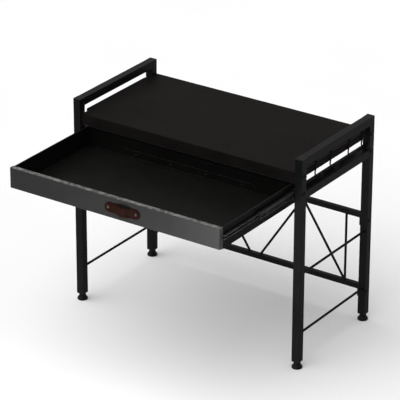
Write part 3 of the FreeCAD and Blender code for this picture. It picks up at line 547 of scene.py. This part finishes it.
class Slot(Enum):
    """Finish of each material slot of the stand's record."""

    FRAME_COAT = PowderCoat("frame_coat_satin", (0.0070, 0.0072, 0.0073), roughness=0.46, specular=0.03)
    SHELF_COAT = PowderCoat(
        "shelf_coat_satin",
        (0.0100, 0.0083, 0.0080),
        roughness=0.48,
        specular=0.006,
        grain=1100.0,
        # A strong painted highlight along the shelf's folded edges.
        edge_amount=0.9,
        dust_and_top_light=0.006,
    )
    # Darker than the frame's coat: painted shade of the drawer's inside, which lies under the shelf.
    DRAWER_COAT = PowderCoat(
        "drawer_coat_satin_shaded",
        (0.0052, 0.0050, 0.0047),
        roughness=0.45,
        specular=0.022,
        grain=1200.0,
        dust_and_top_light=0.006,
    )
    FRONT_COAT = PowderCoat(
        "front_coat_satin",
        (0.009, 0.009, 0.009),
        roughness=0.36,
        specular=0.15,
        grain=1200.0,
        edge_amount=0.5,
        # High amount: painted light on the top strip of the drawer's front.
        dust_and_top_light=0.85,
        sheen=0.4,
    )
    SLIDE_STEEL = CoatedStrip(
        "slide_electro_coat", (0.0048, 0.0048, 0.0051), roughness=0.38, specular=0.03
    )
    BOLT_BLACK = BareMetal(
        "bolt_black_oxide",
        (0.009, 0.009, 0.009),
        roughness=0.45,
        specular=0.05,
        metallic=0.1,
        edge_colour=(0.04, 0.04, 0.04),
    )
    # Darker than the frame's coat: black wire with painted shade of the top rail on the hook rod and
    # hooks.
    HOOK_WIRE = PowderCoat(
        "hook_wire_coat_shaded",
        (0.0036, 0.0036, 0.0036),
        roughness=0.4,
        specular=0.05,
        grain=1800.0,
        edge_amount=0.05,
    )
    BARE_STEEL = BareMetal("zinc_plate", (0.50, 0.50, 0.51), roughness=0.3)
    STUD_METAL = BareMetal(
        "stud_dark_bronze", (0.055, 0.040, 0.034), roughness=0.42, edge_colour=(0.12, 0.09, 0.08)
    )
    STRAP_LEATHER = WaxedLeather(
        "strap_waxed_leather", (0.0130, 0.0040, 0.0026), roughness=0.5, specular=0.01
    )
    BLACK_PLASTIC = MouldedPlastic(
        "foot_black_plastic", (0.0045, 0.0045, 0.0048), roughness=0.45, specular=0.06
    )

    @property
    def slot_name(self) -> str:
        """Returns the slot's name in the record."""
        return self.name.lower()


class Finishes:
    """The material of each slot, built once."""

    def __init__(self, effects: Effects) -> None:
        """Builds every finish.

        Args:
            effects: the shared node groups.
        """
        self.materials = {slot.slot_name: slot.value.material(effects) for slot in Slot}

    def coat(self, piece: Piece, slot: Slot) -> None:
        """Gives a new piece its finish and names its slot.

        Args:
            piece: the piece's object.
            slot: the finish.
        """
        piece.data.materials.clear()
        piece.data.materials.append(self.materials[slot.slot_name])

    def coat_node(self, node: Piece) -> None:
        """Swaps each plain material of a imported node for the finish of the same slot."""
        for slot in node.material_slots:
            slot.material = self.materials[slot.material.name]


# ---- bench: modelling by hand --------------------------------------------------------
class Bench:
    """Edit-mode work on one new mesh."""

    def __init__(self, name: str, primitive: Callable[..., set], **settings: object) -> None:
        """Adds the primitive that the piece starts from, and goes into edit mode.

        Args:
            name: the piece's name.
            primitive: the operator that adds the primitive.
            settings: the operator's settings.
        """
        if bpy.context.mode != "OBJECT":
            bpy.ops.object.mode_set(mode="OBJECT")
        bpy.ops.object.select_all(action="DESELECT")
        primitive(**settings)
        self.piece = bpy.context.active_object
        self.piece.name = self.piece.data.name = name
        bpy.ops.object.transform_apply(location=True, rotation=True, scale=True)
        bpy.ops.object.mode_set(mode="EDIT")
        bpy.ops.mesh.select_mode(type="VERT")

    def pick(self, test: Callable[[Vector], bool]) -> None:
        """Selects the points that pass a test of their place.

        Args:
            test: says whether a point is wanted.
        """
        bpy.ops.mesh.select_all(action="DESELECT")
        bpy.ops.object.mode_set(mode="OBJECT")
        for point in self.piece.data.vertices:
            point.select = test(point.co)
        bpy.ops.object.mode_set(mode="EDIT")

    def cut(self, at: Vector, facing: Vector, drop: bool = False) -> None:
        """Cuts the whole mesh with a plane.

        Args:
            at: a point of the plane.
            facing: the plane's normal.
            drop: whether what lies on the far side of the normal goes, and the cut is closed.
        """
        bpy.ops.mesh.select_all(action="SELECT")
        bpy.ops.mesh.bisect(plane_co=at, plane_no=facing, use_fill=drop, clear_inner=drop)

    def done(self, smooth_deg: float) -> Piece:
        """Merges doubles, turns the faces outwards and leaves edit mode.

        Args:
            smooth_deg: faces that meet at less than this angle are shaded smooth.

        Returns:
            The finished piece.
        """
        bpy.ops.mesh.select_all(action="SELECT")
        bpy.ops.mesh.remove_doubles(threshold=0.000005)
        bpy.ops.mesh.normals_make_consistent(inside=False)
        bpy.ops.object.mode_set(mode="OBJECT")
        bpy.ops.object.shade_smooth_by_angle(angle=math.radians(smooth_deg))
        return self.piece


def apply_modifier(piece: Piece, kind: str, **settings: object) -> None:
    """Adds one modifier to a piece and applies it.

    Args:
        piece: the piece.
        kind: the modifier's type.
        settings: the modifier's own properties.
    """
    bpy.ops.object.select_all(action="DESELECT")
    piece.select_set(True)
    bpy.context.view_layer.objects.active = piece
    modifier = piece.modifiers.new(kind.lower(), kind)
    for name, value in settings.items():
        setattr(modifier, name, value)
    bpy.ops.object.modifier_apply(modifier=modifier.name)


def copied(master: Piece, name: str, turn: Matrix) -> Piece:
    """Copies a piece with its own mesh and puts the copy's place into that mesh.

    Args:
        master: the piece to copy.
        name: the copy's name.
        turn: where the copy goes.

    Returns:
        The copy.
    """
    copy = master.copy()
    copy.data = master.data.copy()
    copy.name = copy.data.name = name
    bpy.context.scene.collection.objects.link(copy)
    copy.data.transform(turn)
    if turn.determinant() < 0:
        copy.data.flip_normals()
    return copy


def joined(pieces: list[Piece], name: str) -> Piece:
    """Joins pieces into one object.

    Args:
        pieces: the pieces, which become one.
        name: name of the result.

    Returns:
        The joined object.
    """
    bpy.ops.object.select_all(action="DESELECT")
    for piece in pieces:
        piece.select_set(True)
    bpy.context.view_layer.objects.active = pieces[0]
    bpy.ops.object.join()
    pieces[0].name = pieces[0].data.name = name
    return pieces[0]


# ---- leather pull --------------------------------------------------------------------
@dataclass
class LeatherPull:
    """Strap of the drawer's pull: round ends under the studs, bowed between them."""

    finishes: Finishes
    left_flat: float = 0.016
    right_flat: float = 0.008
    bow: float = 0.009
    thickness: float = 0.003
    stud_inset: float = 0.010
    crown: float = 0.00035
    crown_margin: float = 0.07
    dimple: float = 0.00045
    dimple_spread: float = 1.15
    stud_radius: float = 0.0038
    edge_round: float = 0.0007
    edge_segments: int = 3
    edge_deg: float = 50.0
    smooth_deg: float = 35.0
    rim_points: int = 48
    long_cuts: int = 34
    cross_cuts: tuple[float, ...] = (-0.86, -0.6, -0.3, 0.0, 0.3, 0.6, 0.86)
    piece: Piece = field(init=False)

    def build(self) -> None:
        """Shapes the strap from a disc drawn out into a band."""
        low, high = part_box("pull_strap")
        half = (high.z - low.z) / 2
        middle_z = (low.z + high.z) / 2
        left, right = low.x + half, high.x - half
        bench = Bench(
            "pull_leather",
            bpy.ops.mesh.primitive_circle_add,
            vertices=self.rim_points,
            radius=half,
            fill_type="NGON",
            location=(left, high.y, middle_z),
            rotation=(math.radians(90), 0, 0),
        )
        bench.pick(lambda co: co.x > left + CLEAR)
        bpy.ops.transform.translate(value=(right - left, 0, 0))
        pitch = (high.x - low.x) / self.long_cuts
        for k in range(1, self.long_cuts):
            bench.cut(Vector((low.x + k * pitch, 0, 0)), Vector((1, 0, 0)))
        for share in self.cross_cuts:
            bench.cut(Vector((0, 0, middle_z + share * half)), Vector((0, 0, 1)))
        bpy.ops.mesh.select_all(action="SELECT")
        bpy.ops.mesh.extrude_region_move(TRANSFORM_OT_translate={"value": (0, -self.thickness, 0)})
        self.bend(bench, low, high)
        self.press(bench, low, high)
        self.piece = bench.done(self.smooth_deg)
        apply_modifier(
            self.piece,
            "BEVEL",
            width=self.edge_round,
            segments=self.edge_segments,
            limit_method="ANGLE",
            angle_limit=math.radians(self.edge_deg),
        )
        bpy.ops.object.shade_smooth_by_angle(angle=math.radians(self.smooth_deg))

    def bow_at(self, x: float, low: Vector, high: Vector) -> float:
        """Works out how far the bow stands off the drawer's front.

        Args:
            x: place along the strap.
            low: lowest corner of the strap's solid.
            high: its highest corner.

        Returns:
            The distance, 0 on the flat ends.
        """
        start = low.x + self.stud_inset + self.left_flat
        run = high.x - self.stud_inset - self.right_flat - start
        share = min(1.0, max(0.0, (x - start) / run))
        return self.bow * (1 - math.cos(2 * math.pi * share)) / 2

    def bend(self, bench: Bench, low: Vector, high: Vector) -> None:
        """Bows the strap out between its flat ends.

        Args:
            bench: the strap's bench.
            low: lowest corner of the strap's solid.
            high: its highest corner.
        """
        bpy.ops.object.mode_set(mode="OBJECT")
        places = sorted({round(p.co.x, 5) for p in bench.piece.data.vertices})
        bpy.ops.object.mode_set(mode="EDIT")
        for place in places:
            out = self.bow_at(place, low, high)
            if out > 0:
                bench.pick(lambda co, place=place: abs(co.x - place) < LEVEL)
                bpy.ops.transform.translate(value=(0, -out, 0))

    def press(self, bench: Bench, low: Vector, high: Vector) -> None:
        """Crowns the strap's face across its width and presses it in under the studs.

        Args:
            bench: the strap's bench.
            low: lowest corner of the strap's solid.
            high: its highest corner.
        """
        middle_z, half = (low.z + high.z) / 2, (high.z - low.z) / 2

        def outer(co: Vector) -> bool:
            """Returns whether a point lies on the strap's outer face."""
            return co.y < high.y - self.bow_at(co.x, low, high) - self.thickness / 2

        for share in (self.cross_cuts[-1], 1.0):
            far = (share - self.crown_margin) * half
            bench.pick(lambda co: outer(co) and abs(co.z - middle_z) > far)
            bpy.ops.transform.translate(value=(0, self.crown * share, 0))
        reach = self.stud_radius * self.dimple_spread
        for x in (low.x + self.stud_inset, high.x - self.stud_inset):
            bench.pick(lambda co: outer(co) and math.hypot(co.x - x, co.z - middle_z) < reach)
            bpy.ops.transform.translate(value=(0, self.dimple, 0))

    def dress(self) -> None:
        """Gives the strap its leather and puts it on the drawer."""
        self.finishes.coat(self.piece, Slot.STRAP_LEATHER)
        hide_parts("pull_strap")
        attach(self.piece, "drawer")
        LOG.info("%s: %d faces", self.piece.name, len(self.piece.data.polygons))


# ---- welds ---------------------------------------------------------------------------
class Joint(Enum):
    """Which way a straight weld's corner opens, as signs along y and z."""

    UNDER_FRONT = (1, -1)
    UNDER_REAR = (-1, -1)
    OVER_FRONT = (1, 1)
    OVER_REAR = (-1, 1)


@dataclass
class FrameWelds:
    """Weld beads of the side frames: straight fillets at the rails, rings at the rods."""

    finishes: Finishes
    leg: float = 0.0022
    length: float = 0.017
    start_share: float = 0.45
    bead_points: int = 16
    ripples: int = 11
    rise_share: float = 0.35
    swell: float = 1.14
    dip: float = 0.88
    first_swell: float = 2.15
    last_dip: float = 0.45
    ring_leg: float = 0.0015
    ring_inset: float = 0.8
    ring_points: int = 10
    ring_steps: int = 24
    ring_swell: Place = (1.09, 1.12, 1.09)
    spoke_deg: float = 3.0
    fillet_smooth_deg: float = 50.0
    ring_smooth_deg: float = 60.0
    pieces: list[Piece] = field(default_factory=list)

    def fillet(self) -> Piece:
        """Makes one straight bead along x with its corner at the origin.

        Returns:
            The bead, open towards +y and -z.
        """
        bench = Bench(
            "weld_fillet",
            bpy.ops.mesh.primitive_circle_add,
            vertices=self.bead_points,
            radius=self.leg * self.start_share,
            fill_type="NGON",
            location=(-self.length / 2, 0, 0),
            rotation=(0, math.radians(90), 0),
        )
        bpy.ops.mesh.select_all(action="SELECT")
        pitch = self.length / self.ripples
        swells = [self.first_swell] + [self.swell] * (self.ripples - 1)
        dips = [self.dip] * (self.ripples - 1) + [self.last_dip]
        for swell, dip in zip(swells, dips):
            for share, size in ((self.rise_share, swell), (1 - self.rise_share, dip)):
                move = {"value": (pitch * share, 0, 0)}
                bpy.ops.mesh.extrude_region_move(TRANSFORM_OT_translate=move)
                bpy.ops.transform.resize(value=(1, size, size))
        bench.cut(Vector((0, 0, 0)), Vector((0, 1, 0)), drop=True)
        bench.cut(Vector((0, 0, 0)), Vector((0, 0, -1)), drop=True)
        return bench.done(self.fillet_smooth_deg)

    def ring(self, rod: str) -> Piece:
        """Makes one bead round a rod along y, where the rod leaves a face at y 0.

        Args:
            rod: name of a rod of that thickness.

        Returns:
            The bead, on the +y side of the face.
        """
        low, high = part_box(rod)
        rod_radius = (high.x - low.x) / 2
        bench = Bench(
            f"weld_ring_{rod}",
            bpy.ops.mesh.primitive_circle_add,
            vertices=self.ring_points,
            radius=self.ring_leg,
            fill_type="NOTHING",
            location=(rod_radius, 0, 0),
        )
        bench.pick(lambda co: co.y < -LEVEL or co.x < rod_radius * self.ring_inset)
        bpy.ops.mesh.delete(type="VERT")
        bpy.ops.mesh.select_all(action="SELECT")
        bpy.ops.mesh.spin(
            steps=self.ring_steps, angle=math.radians(360), center=(0, 0, 0), axis=(0, 1, 0)
        )
        for k in range(0, self.ring_steps, 2):
            angle = math.radians(360 / self.ring_steps * k)
            bench.pick(lambda co, angle=angle: self.on_spoke(co, angle) and co.y > CLEAR)
            bpy.ops.transform.resize(value=self.ring_swell, center_override=(0, 0, 0))
        return bench.done(self.ring_smooth_deg)

    def on_spoke(self, co: Vector, angle: float) -> bool:
        """Returns whether a point of the ring lies at an angle round the rod."""
        away = math.atan2(co.z, co.x) - angle
        return abs((away + math.pi) % (2 * math.pi) - math.pi) < math.radians(self.spoke_deg)

    def rail_beads(self, rail: str, joints: list[Joint], fillet: Piece) -> list[Piece]:
        """Copies the straight bead to a rail's ends.

        Args:
            rail: the rail's name.
            joints: the corners that are welded.
            fillet: the bead.

        Returns:
            The copies.
        """
        low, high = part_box(rail)
        beads = []
        for joint in joints:
            along, up = joint.value
            y, z = (low.y if along > 0 else high.y), (high.z if up > 0 else low.z)
            place = Matrix.Translation(Vector(((low.x + high.x) / 2, y, z)))
            turn = place @ Matrix.Diagonal((1, along, -up, 1))
            beads.append(copied(fillet, f"bead_{rail}_{joint.name.lower()}", turn))
        return beads

    def rod_beads(self, rod: str, ring: Piece) -> list[Piece]:
        """Copies the ring to both ends of a rod along y.

        Args:
            rod: the rod's name.
            ring: the ring that fits it.

        Returns:
            The copies.
        """
        low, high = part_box(rod)
        beads = []
        for y, along in ((low.y, 1), (high.y, -1)):
            place = Matrix.Translation(Vector(((low.x + high.x) / 2, y, (low.z + high.z) / 2)))
            turn = place @ Matrix.Diagonal((1, along, 1, 1))
            beads.append(copied(ring, f"bead_{rod}_{along}", turn))
        return beads

    def upright_beads(self, upright: str, ring: Piece) -> list[Piece]:
        """Copies the ring to both ends of an upright rod.

        Args:
            upright: the rod's name.
            ring: the ring that fits it.

        Returns:
            The copies.
        """
        low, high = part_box(upright)
        beads = []
        for z, up in ((low.z, 1), (high.z, -1)):
            place = Matrix.Translation(Vector(((low.x + high.x) / 2, (low.y + high.y) / 2, z)))
            tip = Euler((math.radians(90 * up), 0, 0)).to_matrix().to_4x4()
            beads.append(copied(ring, f"bead_{upright}_{up}", place @ tip))
        return beads

    def build(self) -> None:
        """Copies the beads to every welded joint."""
        fillet, ring, hook_ring = self.fillet(), self.ring("tie_rod_low_left"), self.ring("hook_rod")
        for side in ("left", "right"):
            beads = self.rail_beads(f"top_rail_{side}", [Joint.UNDER_FRONT, Joint.UNDER_REAR], fillet)
            beads += self.rail_beads(f"slide_rail_{side}", list(Joint), fillet)
            beads += self.rod_beads(f"tie_rod_middle_{side}", ring)
            beads += self.rod_beads(f"tie_rod_low_{side}", ring)
            if side == "right":
                beads += self.rod_beads("hook_rod", hook_ring)
            self.pieces.append(joined(beads, f"welds_{side}"))
        beads = self.upright_beads("lattice_upright_left", ring)
        beads += self.upright_beads("lattice_upright_right", ring)
        self.pieces.append(joined(beads, "welds_rear"))
        for master in (fillet, ring, hook_ring):
            bpy.data.objects.remove(master)

    def dress(self) -> None:
        """Coats the beads as the frame is coated, and fixes them to it."""
        for piece in self.pieces:
            self.finishes.coat(piece, Slot.FRAME_COAT)
            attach(piece, "frame")
            LOG.info("%s: %d faces", piece.name, len(piece.data.polygons))


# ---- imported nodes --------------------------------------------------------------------
@dataclass
class PackedNodes:
    """The stand's solids as packed, which keep their shapes and get their finishes."""

    nodes: dict[str, Piece]
    finishes: Finishes

    def dress(self) -> None:
        """Gives every solid the finish of its slot."""
        for name, node in sorted(self.nodes.items()):
            self.finishes.coat_node(node)
            LOG.info("%s: %s", name, ", ".join(slot.material.name for slot in node.material_slots))


# ---- studio --------------------------------------------------------------------------
@dataclass
class Studio:
    """Pale floor, even soft light and the white room round the stand."""

    floor_half: float = 30.0
    floor_colour: Colour = (0.90, 0.90, 0.90)
    floor_mottle: Colour = (0.92, 0.92, 0.92)
    floor_lift: float = 0.10
    room_light: float = 0.42
    key_strength: float = 2.1
    key_from: Place = (-0.30, -0.55, 1.0)
    key_softness_deg: float = 75.0
    panel_at: Place = (0.02, -1.15, 0.12)
    panel_aim: Place = (0.30, -0.45, 0.45)
    panel_size: tuple[float, float] = (0.45, 0.30)
    panel_power: float = 8.5

    def build(self) -> None:
        """Makes the floor, the room and the two lamps."""
        self.build_floor()
        self.build_room()
        self.build_key()
        self.build_panel()

    def build_floor(self) -> None:
        """Makes a wide floor that looks white to the camera and keeps its shadows."""
        bpy.ops.object.select_all(action="DESELECT")
        bpy.ops.mesh.primitive_plane_add(size=2 * self.floor_half)
        floor = bpy.context.active_object
        floor.name = floor.data.name = "floor"
        material = bpy.data.materials.new("floor_white")
        material.use_nodes = True
        board = Board(material.node_tree)
        mottle = board.spread(board.noise(board.object_place(), 3.0, 3.0), 0.0, 1.0)
        seen = board.add("LightPath", {}).outputs["Is Camera Ray"]
        feeds = {
            "Base Color": board.blend(mottle, self.floor_colour, self.floor_mottle),
            "Roughness": 0.9,
            "Specular IOR Level": 0.0,
            "Emission Color": (1, 1, 1, 1),
            "Emission Strength": board.maths("MULTIPLY", seen, self.floor_lift),
        }
        shader = board.add("BsdfPrincipled", feeds)
        board.add("OutputMaterial", {"Surface": shader.outputs["BSDF"]})
        floor.data.materials.append(material)
        LOG.info("floor laid")

    def build_room(self) -> None:
        """Makes the room: white to the eye and in reflections, plain light on the stand."""
        world = bpy.data.worlds.new("white_room")
        bpy.context.scene.world = world
        world.use_nodes = True
        board = Board(world.node_tree)
        path = board.add("LightPath", {}).outputs
        seen = board.maths("MAXIMUM", path["Is Camera Ray"], path["Is Transmission Ray"])
        seen = board.maths("MAXIMUM", seen, path["Is Glossy Ray"])
        strength = board.span(seen, 0.0, 1.0, self.room_light, 1.0)
        feeds = {"Color": (1, 1, 1, 1), "Strength": strength}
        board.add("OutputWorld", {"Surface": board.add("Background", feeds).outputs["Background"]})

    def build_key(self) -> None:
        """Hangs the wide soft lamp over the stand."""
        lamp = bpy.data.lights.new("key_soft", "SUN")
        lamp.energy = self.key_strength
        lamp.angle = math.radians(self.key_softness_deg)
        holder = bpy.data.objects.new("key_soft", lamp)
        holder.rotation_euler = Vector(self.key_from).to_track_quat("Z", "Y").to_euler()
        bpy.context.scene.collection.objects.link(holder)

    def build_panel(self) -> None:
        """Sets the small low panel that lights the right half of the drawer's front."""
        lamp = bpy.data.lights.new("front_panel", "AREA")
        lamp.shape = "RECTANGLE"
        lamp.size, lamp.size_y = self.panel_size
        lamp.energy = self.panel_power
        holder = bpy.data.objects.new("front_panel", lamp)
        holder.location = self.panel_at
        away = Vector(self.panel_at) - Vector(self.panel_aim)
        holder.rotation_euler = away.to_track_quat("Z", "Y").to_euler()
        holder.visible_camera = False
        bpy.context.scene.collection.objects.link(holder)


# ---- camera --------------------------------------------------------------------------
@dataclass
class Eye:
    """The camera, from where it stands and what it looks at."""

    stands: Place = (3.2010, -4.6556, 2.9760)
    looks_at: Place = (-0.05527, 0.12698, 0.29058)
    roll_deg: float = 0.147
    image_px: float = 400.0
    focal_px: float = 2632.9
    far_m: float = 200.0

    def build(self) -> None:
        """Makes the camera and turns it to the stand."""
        data = bpy.data.cameras.new("eye")
        data.lens = data.sensor_width * self.focal_px / self.image_px
        data.clip_end = self.far_m
        eye = bpy.data.objects.new("eye", data)
        bpy.context.scene.collection.objects.link(eye)
        eye.location = self.stands
        aim = (Vector(self.looks_at) - Vector(self.stands)).to_track_quat("-Z", "Y").to_matrix()
        eye.rotation_euler = (aim @ Matrix.Rotation(math.radians(self.roll_deg), 3, "Z")).to_euler()
        bpy.context.scene.camera = eye
        LOG.info("camera: lens %.1f mm", data.lens)


def main() -> None:
    """Builds the stand's looks in order."""
    logging.basicConfig(level=logging.INFO, format="%(name)s: %(message)s")
    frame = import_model()
    bpy.context.scene.view_settings.view_transform = "Standard"
    Eye().build()
    Studio().build()
    finishes = Finishes(Effects())
    PackedNodes(frame["nodes"], finishes).dress()
    for assembly in (LeatherPull(finishes), FrameWelds(finishes)):
        assembly.build()
        assembly.dress()


if __name__ == "__main__":
    main()
